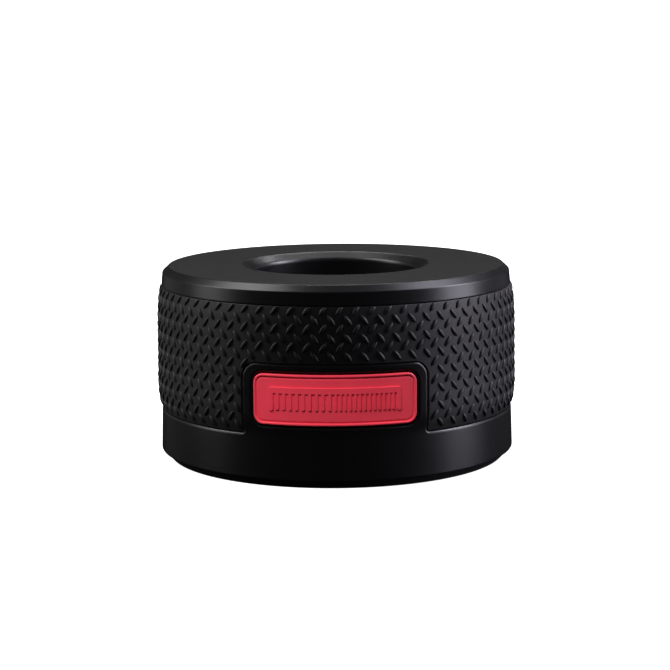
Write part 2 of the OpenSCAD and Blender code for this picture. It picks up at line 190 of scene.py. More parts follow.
def ring_solid(shape, corners, steps=320, fine=6):
    """Adds a closed ring, or a turned solid where the profile starts and ends on the axis."""
    touches = min(c[0] for c in corners) == 0
    profile = rounded(corners, closed=not touches, steps=fine)
    points = revolve(profile, steps)
    if not touches:
        points = np.concatenate([points, points[:1]])
    return shape.grid(points, wrap=True)


def posts(shape, count, first, distance, r, z0, z1):
    """Adds upright round posts with softened ends, spaced evenly from `first` degrees on."""
    corners = [(0, z0, 0), (r, z0, 0.15), (r, z1, 0.15), (0, z1, 0)]
    profile = rounded(corners, closed=False, steps=3, support=0)
    for k in range(count):
        angle = math.radians(first + 360 / count * k)
        centre = [distance * math.cos(angle), distance * math.sin(angle), 0]
        shape.grid(revolve(profile, steps=28) + centre, wrap=True)


# ---------------------------------------------------------------- outlines on the unrolled wall

def arc(cu, cz, r, a0, a1, n=10):
    """Points of a circle's arc from angle a0 to a1, in degrees."""
    t = np.radians(np.linspace(a0, a1, n))
    return np.stack([cu + r * np.cos(t), cz + r * np.sin(t)], -1)


SPAN = 0.9                        # longest span along a panel's edges and in a row round the wall


def resample(path, step):
    """The same polyline with extra points, so that no span is longer than step."""
    out = [path[:1]]
    for a, b in zip(path[:-1], path[1:]):
        n = max(1, math.ceil(np.hypot(*(b - a)) / step))
        out.append(a + (b - a) * (np.arange(1, n + 1) / n)[:, None])
    return np.concatenate(out)


def tab_path(half, low, high, corner, foot, ends):
    """Outline from (-ends, low) to (ends, low), which rises between them into a tab with rounded
    shoulders and a rounded foot."""
    right = [arc(half + foot, low + foot, foot, 180, 270, 7)[::-1],
             arc(half - corner, high - corner, corner, 0, 90, 14)]
    right = np.concatenate(right)[::-1]
    left = right[::-1] * [-1, 1]
    return np.concatenate([[[-ends, low]], left, right, [[ends, low]]])


def level(ends, z):
    """A straight outline at height z from -ends to ends."""
    return resample(np.array([[-ends, z], [ends, z]], float), SPAN)


def path_normals(path, closed):
    """Unit normals to the right of the path, from the chord between each point's neighbours."""
    if closed:
        t = np.roll(path, -1, 0) - np.roll(path, 1, 0)
    else:
        t = np.gradient(path, axis=0)
    t /= np.linalg.norm(t, axis=1)[:, None]
    return np.stack([t[:, 1], -t[:, 0]], -1)


def inside(points, outline):
    """Whether each point lies in the closed outline: an odd number of its sides cross the line
    that runs straight to the right from the point."""
    a, b = outline, np.roll(outline, -1, 0)
    x, y = points[:, 0][:, None], points[:, 1][:, None]
    crosses = (a[:, 1] > y) != (b[:, 1] > y)
    with np.errstate(divide="ignore", invalid="ignore"):
        at = a[:, 0] + (y - a[:, 1]) * (b[:, 0] - a[:, 0]) / (b[:, 1] - a[:, 1])
    return (crosses & (x < at)).sum(1) % 2 == 1


EDGE_TURN = np.radians([90, 68, 45, 22, 0])
EDGE_SUPPORT = 0.12               # one more step in from a rounded edge, still on the flat


def edge_steps(r):
    """Distances in from a rounded edge, and the drop of the surface there: a quarter circle of
    radius r, so that at angle t they are r (1 - sin t) and r (1 - cos t)."""
    inset = np.append(r * (1 - np.sin(EDGE_TURN)), r + EDGE_SUPPORT)
    drop = np.append(r * (1 - np.cos(EDGE_TURN)), 0.0)
    return inset, drop


def wall_panel(shape, ends, low, high, rows, edges, front, back, holes=(), turn=0.0):
    """Adds a thick, curved piece of wall between two outlines, with rounded edges and holes.

    On the unrolled wall, each outline is repeated inwards at the steps of a quarter circle, and
    everything between is filled with triangles. The front is then wrapped at radius front(z) less
    the drop, the back at radius back, and the two are joined along every edge but the ends, where
    other wall carries on. `edges` holds the radii of the low and the high edge.
    """
    loops = []
    cell_u, cell_z = 1.2, 1.0     # spacing of the filling points
    clear = 0.45                  # their least distance from the outlines' points

    def lay(path, normals, r, closed):
        inset, drop = edge_steps(r)
        for e, d in zip(inset, drop):
            loops.append((path + normals * e, np.full(len(path), d), closed))

    lay(low, -path_normals(low, False), edges[0], False)
    lay(high, path_normals(high, False), edges[1], False)
    for hole, r in holes:
        lay(hole, path_normals(hole, True), r, True)
    for side in (-ends, ends):
        loops.append((np.stack([np.full(len(rows[0]), side), rows[0]], -1), rows[1], False))
    outer = np.concatenate([low, high[::-1]])
    edge_points = np.concatenate([p for p, _, _ in loops])
    us = np.arange(-ends + cell_u, ends - cell_u / 2, cell_u)
    zs = np.arange(low[:, 1].min() + 0.8, high[:, 1].max(), cell_z)
    fill = np.stack(np.meshgrid(us, zs), -1).reshape(-1, 2)
    gap = np.min(np.hypot(*(fill[:, None] - edge_points[None]).transpose(2, 0, 1)), axis=1)
    keep = inside(fill, outer) & (gap > clear)
    for hole, _ in holes:
        keep &= ~inside(fill, hole)
    fill = fill[keep]
    points = np.concatenate([edge_points, fill])
    drops = np.concatenate([d for _, d, _ in loops] + [np.zeros(len(fill))])
    fixed, at = [], 0
    for p, _, closed in loops:
        i = np.arange(at, at + len(p))
        fixed += list(zip(i.tolist(), np.roll(i, -1).tolist()))[: None if closed else -1]
        at += len(p)
    flat, _, tris, origin, _, _ = delaunay_2d_cdt([Vector(p) for p in points], fixed, [], 0, 1e-5)
    flat, tris = np.array(flat), np.array(tris)
    drop = np.array([drops[o[0]] if o else 0.0 for o in origin])
    middle = flat[tris].mean(1)
    good = inside(middle, outer)
    for hole, _ in holes:
        good &= ~inside(middle, hole)
    tris = tris[good]
    a, b, c = (flat[tris[:, k]] for k in range(3))
    turned = (b - a)[:, 0] * (c - a)[:, 1] - (b - a)[:, 1] * (c - a)[:, 0] < 0
    tris[turned] = tris[turned][:, ::-1]
    n = len(flat)
    sides = np.concatenate([tris[:, [0, 1]], tris[:, [1, 2]], tris[:, [2, 0]]])
    key = np.sort(sides, 1) @ [1, n]
    _, which, times = np.unique(key, return_index=True, return_counts=True)
    rim = sides[which[times == 1]]
    at_end = (np.abs(np.abs(flat[rim][:, :, 0]) - ends) < 1e-3).all(1)
    rim = rim[~at_end]
    walls = np.stack([rim[:, 0], rim[:, 0] + n, rim[:, 1] + n, rim[:, 1]], -1)
    u, z = flat.T
    shape.add(np.concatenate([place(u, z, front(z) - drop, turn), place(u, z, back, turn)]),
              tris, tris[:, ::-1] + n, walls)


def wall_rest(shape, start, end, rows, front, back):
    """Adds the plain wall from arc length start to end: a grid for the front at radius front(z)
    less the drop, one for the back, and both edges."""
    z, drop = rows
    u = np.linspace(start, end, math.ceil((end - start) / SPAN) + 1)[None]
    face = place(u, z[:, None], (front(z) - drop)[:, None])
    rear = place(u, z[:, None], back)
    shape.grid(face)
    shape.grid(rear, flip=True)
    shape.grid(np.stack([rear[0], face[0]]))
    shape.grid(np.stack([face[-1], rear[-1]]))


def wall_rows(low, high, edges, step):
    """Heights of the grid's rows and how far each drops: rounded at both edges, even between."""
    a, da = edge_steps(edges[0])
    b, db = edge_steps(edges[1])
    first, last = low + a[-1], high - b[-1]
    between = np.linspace(first, last, max(3, round((last - first) / step)))[1:-1]
    return (np.concatenate([low + a, between, (high - b)[::-1]]),
            np.concatenate([da, 0 * between, db[::-1]]))


def rounded_rect(half_w, half_h, r, cu=0.0, cz=0.0, across=44, up=10, turns=6):
    """Anticlockwise outline of a rounded rectangle, always with the same number of points."""
    corner = np.array([[half_w - r, half_h - r]]) * [[1, -1], [1, 1], [-1, 1], [-1, -1]]
    parts = []
    for k, (start, n) in enumerate(zip((-90, 0, 90, 180), (up, across, up, across))):
        turn = arc(*corner[k], r, start, start + 90, turns)
        nxt = arc(*corner[(k + 1) % 4], r, start + 90, start + 90, 1)
        parts += [turn, turn[-1] + (nxt - turn[-1]) * (np.arange(1, n) / n)[:, None]]
    return np.concatenate(parts) + [cu, cz]


# ---------------------------------------------------------------- materials

def node_group(name, inputs, outputs):
    """An empty shader group with named sockets. Inputs are (name, kind, default)."""
    group = bpy.data.node_groups.new(name, "ShaderNodeTree")
    for label, kind, default in inputs:
        socket = group.interface.new_socket(label, in_out="INPUT", socket_type=kind)
        socket.default_value = default
    for label, kind in outputs:
        group.interface.new_socket(label, in_out="OUTPUT", socket_type=kind)
    return group, group.nodes.new("NodeGroupInput"), group.nodes.new("NodeGroupOutput")


def math_node(tree, operation, a, b):
    """a and b are sockets or numbers."""
    node = tree.nodes.new("ShaderNodeMath")
    node.operation = operation
    for socket, value in zip(node.inputs, (a, b)):
        if isinstance(value, (int, float)):
            socket.default_value = value
        else:
            tree.links.new(value, socket)
    return node.outputs[0]


def noise(tree, coordinate, scale, detail, rough):
    """Noise of the given detail and roughness. scale is a socket or a number."""
    node = tree.nodes.new("ShaderNodeTexNoise")
    node.inputs["Detail"].default_value = detail
    node.inputs["Roughness"].default_value = rough
    tree.links.new(coordinate, node.inputs["Vector"])
    if isinstance(scale, (int, float)):
        node.inputs["Scale"].default_value = scale
    else:
        tree.links.new(scale, node.inputs["Scale"])
    return node.outputs["Fac"]


def moulded_grain():
    """Spark-eroded moulding texture: fine grain for the bump, broad mottle for tone and gloss."""
    group, given, out = node_group(
        "moulded_grain",
        [("Vector", "NodeSocketVector", (0, 0, 0)), ("Grain size", "NodeSocketFloat", 4200.0),
         ("Mottle", "NodeSocketFloat", 0.06), ("Gloss", "NodeSocketFloat", 0.4)],
        [("Height", "NodeSocketFloat"), ("Roughness", "NodeSocketFloat"),
         ("Tone", "NodeSocketFloat")])
    link = group.links.new
    fine = noise(group, given.outputs["Vector"], given.outputs["Grain size"], 2.0, 0.6)
    coarse = noise(group, given.outputs["Vector"], 130.0, 4.0, 0.6)
    centred = math_node(group, "SUBTRACT", coarse, 0.5)
    swing = math_node(group, "MULTIPLY", centred, given.outputs["Mottle"])
    link(fine, out.inputs["Height"])
    link(math_node(group, "ADD", given.outputs["Gloss"], swing), out.inputs["Roughness"])
    link(math_node(group, "ADD", 1.0, math_node(group, "MULTIPLY", swing, 4.0)), out.inputs["Tone"])
    return group


def painted_top_sheen():
    """Mask of a painted sheen that lightens upward faces, as if lit from above: the upward part of
    the normal, times patches of noise, times the amount."""
    group, given, out = node_group(
        "painted_top_sheen",
        [("Vector", "NodeSocketVector", (0, 0, 0)), ("Amount", "NodeSocketFloat", 0.2)],
        [("Mask", "NodeSocketFloat")])
    link = group.links.new
    geometry = group.nodes.new("ShaderNodeNewGeometry")
    split = group.nodes.new("ShaderNodeSeparateXYZ")
    link(geometry.outputs["Normal"], split.inputs[0])
    up = math_node(group, "MAXIMUM", split.outputs["Z"], 0.0)
    patches = noise(group, given.outputs["Vector"], 45.0, 6.0, 0.65)
    lying = math_node(group, "MULTIPLY", up, patches)
    link(math_node(group, "MULTIPLY", lying, given.outputs["Amount"]), out.inputs["Mask"])
    return group


GRAIN, PAINTED_TOP_SHEEN = moulded_grain(), painted_top_sheen()


# grey that the painted sheen mixes upward faces towards
PAINTED_SHEEN_COLOUR = (0.3, 0.3, 0.3, 1)


def material(name, colour, gloss, mottle, grain=4200.0, depth=0.02, painted_sheen=0.0, metallic=0.0,
             sheen=0.0):
    """A moulded or metal finish: the colour scaled by the mottle's tone, roughness around `gloss`,
    and a fine bump of distance `depth` in millimetres at half strength. A non-zero amount of
    painted sheen lightens upward faces towards grey."""
    mat = bpy.data.materials.new(name)
    mat.use_nodes = True
    tree = mat.node_tree
    shader = tree.nodes["Principled BSDF"]
    link = tree.links.new
    where = tree.nodes.new("ShaderNodeTexCoord").outputs["Object"]
    texture = tree.nodes.new("ShaderNodeGroup")
    texture.node_tree = GRAIN
    link(where, texture.inputs["Vector"])
    texture.inputs["Grain size"].default_value = grain
    texture.inputs["Mottle"].default_value = mottle
    texture.inputs["Gloss"].default_value = gloss
    tint = tree.nodes.new("ShaderNodeVectorMath")
    tint.operation = "SCALE"
    tint.inputs[0].default_value = colour
    link(texture.outputs["Tone"], tint.inputs["Scale"])
    surface = tint.outputs[0]
    # painted sheen: upward faces are lightened towards grey in noise patches
    if painted_sheen:
        painted_sheen_node = tree.nodes.new("ShaderNodeGroup")
        painted_sheen_node.node_tree = PAINTED_TOP_SHEEN
        link(where, painted_sheen_node.inputs["Vector"])
        painted_sheen_node.inputs["Amount"].default_value = painted_sheen
        mix = tree.nodes.new("ShaderNodeMix")
        mix.data_type = "RGBA"
        link(painted_sheen_node.outputs["Mask"], mix.inputs["Factor"])
        link(surface, mix.inputs["A"])
        mix.inputs["B"].default_value = PAINTED_SHEEN_COLOUR
        surface = mix.outputs["Result"]
    link(surface, shader.inputs["Base Color"])
    link(texture.outputs["Roughness"], shader.inputs["Roughness"])
    bump = tree.nodes.new("ShaderNodeBump")
    bump.inputs["Strength"].default_value = 0.5
    bump.inputs["Distance"].default_value = depth * MM
    link(texture.outputs["Height"], bump.inputs["Height"])
    link(bump.outputs["Normal"], shader.inputs["Normal"])
    shader.inputs["Metallic"].default_value = metallic
    shader.inputs["IOR"].default_value = 1.5
    shader.inputs["Sheen Weight"].default_value = sheen
    return mat


# the shell's upward faces get a faint painted sheen
shell_black = material("satin_black_shell", (0.0024, 0.0023, 0.0027), 0.32, 0.05, painted_sheen=0.012)
well_black = material("satin_black_well", (0.005, 0.005, 0.0053), 0.42, 0.05)
band_black = material("satin_black_band", (0.0026, 0.0025, 0.0029), 0.56, 0.06, sheen=0.03)
badge_red = material("satin_red_badge", (0.86, 0.055, 0.09), 0.36, 0.04, depth=0.015)
foot_black = material("matt_rubber_foot", (0.006, 0.006, 0.006), 0.75, 0.1, grain=2600, depth=0.05)
underside = material("satin_black_underside", (0.011, 0.011, 0.0115), 0.5, 0.06)
trim_black = material("smooth_black_trim", (0.013, 0.013, 0.014), 0.22, 0.04, depth=0.005)
inlet_black = material("moulded_inlet", (0.009, 0.009, 0.01), 0.45, 0.05)
block_grey = material("glass_filled_block", (0.03, 0.032, 0.035), 0.5, 0.12, grain=3000, depth=0.03)
contact_gold = material("gold_plated_contact", (0.83, 0.58, 0.24), 0.24, 0.05, depth=0.004,
                        metallic=1.0)
plated = material("nickel_plated_pin", (0.66, 0.62, 0.54), 0.22, 0.05, depth=0.004,
                  metallic=1.0)
spring_wire = material("drawn_spring_wire", (0.52, 0.53, 0.55), 0.28, 0.08, metallic=1.0)
zinc = material("zinc_plated_screw", (0.5, 0.51, 0.53), 0.34, 0.12, grain=2500, metallic=1.0)
iron = material("coated_iron_ballast", (0.16, 0.162, 0.17), 0.55, 0.15, grain=1800, depth=0.08,
                metallic=0.8)
tape = material("foam_tape", (0.62, 0.6, 0.55), 0.85, 0.08, grain=2200, depth=0.08)
board_green = material("green_solder_resist", (0.02, 0.12, 0.05), 0.3, 0.1, grain=1500, depth=0.02)
chip_black = material("moulded_chip", (0.012, 0.012, 0.013), 0.5, 0.08)
capacitor_blue = material("capacitor_sleeve", (0.015, 0.035, 0.1), 0.3, 0.05)
resistor_tan = material("lacquered_resistor", (0.55, 0.42, 0.25), 0.4, 0.1)
lead_red = material("red_lead_insulation", (0.45, 0.02, 0.02), 0.45, 0.05)
lead_black = material("black_lead_insulation", (0.012, 0.012, 0.012), 0.45, 0.05)

CARRIED = {
    "bottom_cover": underside, "ballast_weight": iron, "badge_tape": tape,
    "contact_block": block_grey, "pin_barrels": contact_gold, "contact_pin_centre": contact_gold,
    "contact_pin_left": contact_gold, "contact_pin_right": contact_gold,
    "circuit_board": board_green, "charge_chip": chip_black,
    "smoothing_capacitor": capacitor_blue, "sense_resistor": resistor_tan,
    "dc_jack": inlet_black, "jack_centre_pin": plated, "jack_leaf_contact": contact_gold,
    "inlet_bezel": trim_black, "lead_positive": lead_red, "lead_negative": lead_black,
    "cover_screws": zinc, "well_screws": zinc, "board_screws": zinc, "ballast_screws": zinc,
}
for node_name, finish in CARRIED.items():
    data = nodes[node_name].data
    data.materials.clear()
    data.materials.append(finish)


# ---------------------------------------------------------------- top cover and well

TOP_SHEET = 2.4                   # thickness of the top cover's flat
TUCK_BOTTOM = 37.0                # lower edge of the collar that tucks into the housing's tube
TUCK_IN, TUCK_OUT = TUBE_IN - 1.9, TUBE_IN - 0.1
RIM_LOW, RIM_HIGH = (43.0, 46.12), (41.43, TOP)          # the chamfer round the top
LIP_LOW, LIP_HIGH = (WELL_R, 45.9), (WELL_R + 2.35, TOP)  # the chamfer round the well

cover = ring_solid(Shape(), [
    (WELL_R, WELL_JOINT, 0.1), (WELL_R + 1.6, WELL_JOINT, 0.1),
    (WELL_R + 1.6, TOP - TOP_SHEET, 0.3), (TUCK_IN, TOP - TOP_SHEET, 0.3),
    (TUCK_IN, TUCK_BOTTOM, 0.2), (TUCK_OUT, TUCK_BOTTOM, 0.2),
    (TUCK_OUT, CAP_BOTTOM, 0), (43.3, CAP_BOTTOM, 0.25),
    (*RIM_LOW, 0.4), (*RIM_HIGH, 0.4), (*LIP_HIGH, 0.9), (*LIP_LOW, 1.2)], steps=384, fine=7)
posts(cover, 3, 30, 26.5, 3.0, WELL_JOINT, TOP - 2.2)
make("top_cover_shell", cover, "base", shell_black, ["top_cover"])

FLANGE_R, FLANGE_LOW = 29.8, WELL_JOINT - 2     # the cup's flange, screwed to the posts above
CUP_OUT = 22.5
CUP_FLOOR, CUP_TOP = WELL_FLOOR - 0.06, WELL_JOINT - 0.02
cup = ring_solid(Shape(), [
    (0, WELL_FLOOR - 2, 0), (20.3, WELL_FLOOR - 2, 0.3), (CUP_OUT, WELL_FLOOR + 0.2, 1.0),
    (CUP_OUT, FLANGE_LOW, 0.4), (FLANGE_R, FLANGE_LOW, 0.2), (FLANGE_R, CUP_TOP, 0.2),
    (WELL_R, CUP_TOP, 0.05), (WELL_R, CUP_FLOOR, 3.0), (0, CUP_FLOOR, 0)], steps=288, fine=9)
posts(cup, 3, 30, 15, 2.6, 12.0, WELL_FLOOR - 1.5)
make("well_cup_shell", cup, "base", well_black, ["well_cup"])


# ---------------------------------------------------------------- lower housing with the badge tab

SKIRT_TAPER = 0.33
TAB_SWELL, SWELL_HEIGHT = 0.42, 4.5


def housing_front(z):
    """Skirt: narrows by SKIRT_TAPER over its height. Above its top edge the tab swells by
    TAB_SWELL, along the curve 3 s^2 - 2 s^3 at share s of SWELL_HEIGHT, until it is level with
    the band."""
    up = (np.clip(z, FOOT_TOP, SKIRT_TOP) - FOOT_TOP) / (SKIRT_TOP - FOOT_TOP)
    rise = np.clip((z - SKIRT_TOP) / SWELL_HEIGHT, 0, 1)
    return SKIRT_OUT - SKIRT_TAPER * up + TAB_SWELL * rise ** 2 * (3 - 2 * rise)


FRONT_END, REAR_END = 27.0, 9.0   # arc length each way that the front and the rear panel cover
SKIRT_EDGES = (0.25, 0.6)
skirt_rows = wall_rows(FOOT_TOP, SKIRT_TOP, SKIRT_EDGES, 1.1)
pocket = rounded_rect(BADGE_HALF + 0.3, BADGE_Z - BADGE_LOW + 0.4, BADGE_CORNER + 0.3, 0, BADGE_Z)
tab = resample(tab_path(TAB_HALF, SKIRT_TOP, TAB_TOP, TAB_CORNER, 0.7, FRONT_END), SPAN)
inlet_hole = arc(0, INLET_Z, 4.25, 0, 360, 57)[:-1]

housing = Shape()
wall_panel(housing, FRONT_END, level(FRONT_END, FOOT_TOP), tab, skirt_rows, SKIRT_EDGES,
           housing_front, SKIRT_IN, holes=[(pocket, 0.6)])
wall_panel(housing, REAR_END, level(REAR_END, FOOT_TOP), level(REAR_END, SKIRT_TOP), skirt_rows,
           SKIRT_EDGES, housing_front, SKIRT_IN, holes=[(inlet_hole, 0.2)], turn=math.pi)
wall_rest(housing, FRONT_END, TURN / 2 - REAR_END, skirt_rows, housing_front, SKIRT_IN)
wall_rest(housing, TURN / 2 + REAR_END, TURN - FRONT_END, skirt_rows, housing_front, SKIRT_IN)
TUBE_LOW, TUBE_HIGH = 12.35, CAP_BOTTOM - 0.05
ring_solid(housing, [(TUBE_IN, TUBE_LOW, 0.1), (TUBE_OUT, TUBE_LOW, 0.1),
                     (TUBE_OUT, TUBE_HIGH, 0.2), (TUBE_IN, TUBE_HIGH, 0.2)], steps=256, fine=2)
posts(housing, 4, 45, 31.6, 3.2, COVER_TOP, 17.6)
make("lower_housing_shell", housing, "base", shell_black, ["lower_housing"])

FOOT_IN, FOOT_STEP, FOOT_LOW_R, FOOT_HIGH_R = 36.0, 40.0, 41.6, 43.5
foot = ring_solid(Shape(), [
    (FOOT_IN, 0, 0.3), (FOOT_LOW_R, 0, 0.4), (FOOT_HIGH_R, FOOT_TOP - 0.02, 0.1),
    (FOOT_STEP, FOOT_TOP - 0.02, 0.1), (FOOT_STEP, FOOT_TOP - 0.3, 0.1),
    (FOOT_IN, FOOT_TOP - 0.3, 0.2)])
make("foot_ring_shell", foot, "base", foot_black, ["foot_ring"])


# ---------------------------------------------------------------- grip band

# heights and radii of the band between its ribs
BAND_Z = np.array([12.0, 12.75, 13.25, 14.25, 15.25, 17.25, 19.0, 24.0, 31.5, 36.0, 38.0, 40.5,
                   41.5, 42.5, 43.5])
BAND_R = np.array([43.3, 43.4, 43.5, 43.86, 44.02, 44.2, 44.28, 44.18, 44.12, 44.06, 43.92, 43.72,
                   43.52, 43.3, 43.1])
BELL, BELL_REACH = 0.55, 40       # width of the smoothing bell, and its reach in steps of 0.05
table_z = np.linspace(11, 45, 681)
kernel = np.exp(-0.5 * (np.arange(-BELL_REACH, BELL_REACH + 1) * 0.05 / BELL) ** 2)
table_r = np.convolve(np.pad(np.interp(table_z, BAND_Z, BAND_R), BELL_REACH, "edge"),
                      kernel / kernel.sum(), "valid")


def band_front(z):
    """Radius of the band between its ribs: the radii above, smoothed by a bell BELL wide."""
    return np.interp(z, table_z, table_r)


BAND_IN = 42.6
BAND_EDGES = (0.15, 0.15)
CUT_HALF, CUT_TOP, CUT_CORNER = TAB_HALF + TAB_GAP, TAB_TOP + TAB_GAP, TAB_CORNER + TAB_GAP
band_low = resample(tab_path(CUT_HALF, BAND_BOTTOM, CUT_TOP, CUT_CORNER, 0.35, FRONT_END), SPAN)
band_rows = wall_rows(BAND_BOTTOM, BAND_TOP, BAND_EDGES, 0.8)
band = Shape()
wall_panel(band, FRONT_END, band_low, level(FRONT_END, BAND_TOP), band_rows, BAND_EDGES,
           band_front, BAND_IN)
wall_rest(band, FRONT_END, TURN - FRONT_END, band_rows, band_front, BAND_IN)
make("grip_band", band, "base", band_black, ["grip_sleeve"])

RIB_COLUMNS, RIB_ROWS = 72, 7
RIB_PITCH = TURN / RIB_COLUMNS
RIB_START = -0.745                # u of the first column
RIB_TILT = math.radians(37)
RIB_LONG, RIB_WIDE, RIB_HIGH = 1.52, 0.57, 0.48          # half length, half width and height


def rib_centres():
    """(u, z, lean) of every rib: rows about half a row apart that lean left and right in turn, the
    right-leaning ones half a pitch further round."""
    rows = []
    for k in range(RIB_ROWS):
        u = np.arange(RIB_COLUMNS) * RIB_PITCH + RIB_START
        rows.append(np.stack([u, 0 * u + 14.5 + 4.205 * k, 0 * u - 1], -1))
        rows.append(np.stack([u + RIB_PITCH / 2, 0 * u + 16.5 + 4.25 * k, 0 * u + 1], -1))
    found = np.concatenate(rows)
    found[:, 0] = (found[:, 0] + TURN / 2) % TURN - TURN / 2
    return found


def cut_distance(u, z):
    """Distance outside the band's cut-out for the tab, open downwards with rounded shoulders: the
    distance to the rectangle inside the corners' centres, less the corners' radius."""
    du, dz = np.abs(u) - (CUT_HALF - CUT_CORNER), z - (CUT_TOP - CUT_CORNER)
    outside = np.hypot(np.maximum(du, 0), np.maximum(dz, 0))
    return outside + np.minimum(np.maximum(du, dz), 0) - CUT_CORNER


def ribs():
    """Lens-shaped ribs. At share s of half its length a rib is (1 - s^2)^0.8 of its full width and
    (1 - s^2)^0.6 of its full height, and its section is an arch whose feet lie in the band.

    Ribs are left out where their middle is in the cut-out or no further than `near` from it. The
    points of the others that come nearer than `clear` are pushed out to that distance, away from
    the closest point of the rectangle inside the corners' centres.
    """
    near, clear = 0.15, 0.12
    sunk = 0.35                   # the feet go sunk * sin(20 degrees) into the band
    found = rib_centres()
    found = found[cut_distance(found[:, 0], found[:, 1]) > near]
    s = np.array([-0.86, -0.52, 0.0, 0.52, 0.86])
    w = (1 - s ** 2) ** 0.8 * RIB_WIDE
    h = (1 - s ** 2) ** 0.6 * RIB_HIGH
    t = np.radians([200, 150, 112, 68, 30, -20])
    arch = np.where(np.sin(t) > 0, h[:, None], sunk) * np.sin(t)
    along = np.concatenate([[-RIB_LONG], np.repeat(s * RIB_LONG, len(t)), [RIB_LONG]])
    across = np.concatenate([[0], (w[:, None] * np.cos(t)).ravel(), [0]])
    height = np.concatenate([[-0.05], arch.ravel(), [-0.05]])
    u0, z0, lean = (found[:, k][:, None] for k in range(3))
    u = u0 + along * math.sin(RIB_TILT) * lean + across * math.cos(RIB_TILT)
    z = z0 + along * math.cos(RIB_TILT) - across * math.sin(RIB_TILT) * lean
    corner_u, corner_z = CUT_HALF - CUT_CORNER, CUT_TOP - CUT_CORNER
    pu, pz = np.minimum(np.abs(u), corner_u) * np.sign(u), np.minimum(z, corner_z)
    du, dz = u - pu, z - pz
    push = np.where(cut_distance(u, z) < clear,
                    (CUT_CORNER + clear) / np.maximum(np.hypot(du, dz), 1e-6), 1.0)
    u, z = pu + du * push, pz + dz * push
    z = np.clip(z, BAND_BOTTOM + 0.15, BAND_TOP - 0.12)
    points = place(u, z, band_front(z) + height)
    n = len(along)
    body = 1 + grid_faces(len(s), len(t), wrap=True)
    k = np.arange(len(t))
    k_next = (k + 1) % len(t)
    first = np.stack([0 * k, 1 + k_next, 1 + k], -1)
    last = np.stack([0 * k + n - 1, n - 1 - len(t) + k, n - 1 - len(t) + k_next], -1)
    each = np.arange(len(found))[:, None, None] * n
    return Shape().add(points, (body + each).reshape(-1, 4), (first + each).reshape(-1, 3),
                       (last + each).reshape(-1, 3))


make("grip_ribs", ribs(), "base", band_black, sharp=80.0)


# ---------------------------------------------------------------- badge

def plaque(shape, outline, levels, back, centre, rows=4):
    """Adds a curved plate. Its outline is repeated at each level (inset, radius), from the outside
    in, and the middle is filled by drawing the last outline in to a line along the plate."""
    def loop(inset, r):
        u, z = outline(inset).T
        return place(u, z, r)

    deepest, r_in = levels[-1]
    u, z = outline(deepest).T
    reach = np.abs(u - centre[0]).max() - np.abs(z - centre[1]).max()
    su, sz = centre[0] + np.clip(u - centre[0], -max(reach, 0), max(reach, 0)), centre[1] + 0 * z
    shares = np.linspace(0, 1, rows, endpoint=False)
    middle = [place(su + (u - su) * k, sz + (z - sz) * k, r_in) for k in shares]
    face = middle + [loop(i, r) for i, r in levels[::-1]]
    u, z = outline(0).T
    rear = [place(su + (u - su) * k, sz + (z - sz) * k, back) for k in np.append(shares, 1)[::-1]]
    return shape.grid(np.stack(face + rear), wrap=True, flip=True)


def badge_outline(inset):
    corner = BADGE_CORNER - min(inset, 1.7)
    return rounded_rect(BADGE_HALF - inset, BADGE_Z - BADGE_LOW - inset, corner, 0, BADGE_Z,
                        across=56)


PANEL_R = 43.78                   # radius of the badge's sunk panel
BADGE_BACK = 42.95
BADGE_RIM = [                     # (inset, radius): side, rounded rim, groove, panel
    (0, 43.0), (0, 43.72), (0.03, 43.84), (0.1, 43.94), (0.2, 44.0), (0.3, 44.03), (0.42, 44.03),
    (0.52, 44.0), (0.6, 43.93), (0.65, 43.83), (0.68, 43.68), (0.73, 43.61), (0.83, 43.6),
    (0.89, 43.65), (0.98, 43.74), (1.1, PANEL_R), (1.4, PANEL_R)]
badge = Shape()
plaque(badge, badge_outline, BADGE_RIM, BADGE_BACK, (0, BADGE_Z))


def bar(shape, cu, cz, half_w, half_h, r, across=2, up=3, turns=3):
    """Adds a low raised bar with softened edges on the badge's panel."""
    def outline(inset):
        return rounded_rect(half_w - inset, half_h - inset, max(r - inset, 0.02), cu, cz, across,
                            up, turns)
    plaque(shape, outline, [(0, PANEL_R - 0.03), (0.02, PANEL_R + 0.24), (0.08, PANEL_R + 0.33)],
           PANEL_R - 0.05, (cu, cz), rows=1)


# a comb in low relief: spine, end guards, nine coarse teeth and thirteen fine ones
COMB_HALF = 15.6
GUARD_HALF = 0.55
TOOTH_Z, TOOTH_HALF = 20.95, 2.25
bar(badge, 0, 23.35, COMB_HALF, 0.75, 0.6, across=40, up=3, turns=5)
for side in (-1, 1):
    bar(badge, side * (COMB_HALF - GUARD_HALF), 21.0, GUARD_HALF, 2.6, 0.5)
for u in np.linspace(-13.5, -1.2, 9):
    bar(badge, u, TOOTH_Z, 0.42, TOOTH_HALF, 0.35)
for u in np.linspace(0.2, 13.7, 13):
    bar(badge, u, TOOTH_Z, 0.3, TOOTH_HALF, 0.25)
make("badge_plate", badge, "base", badge_red, ["badge"])


# ---------------------------------------------------------------- contact springs

SPRING_LOW, SPRING_HIGH = 12.72, 19.38          # a coil shortens towards its seat, SPRING_LOW
SPRING_MEAN, WIRE_R = 1.26, 0.16
SPRING_TURNS = 6


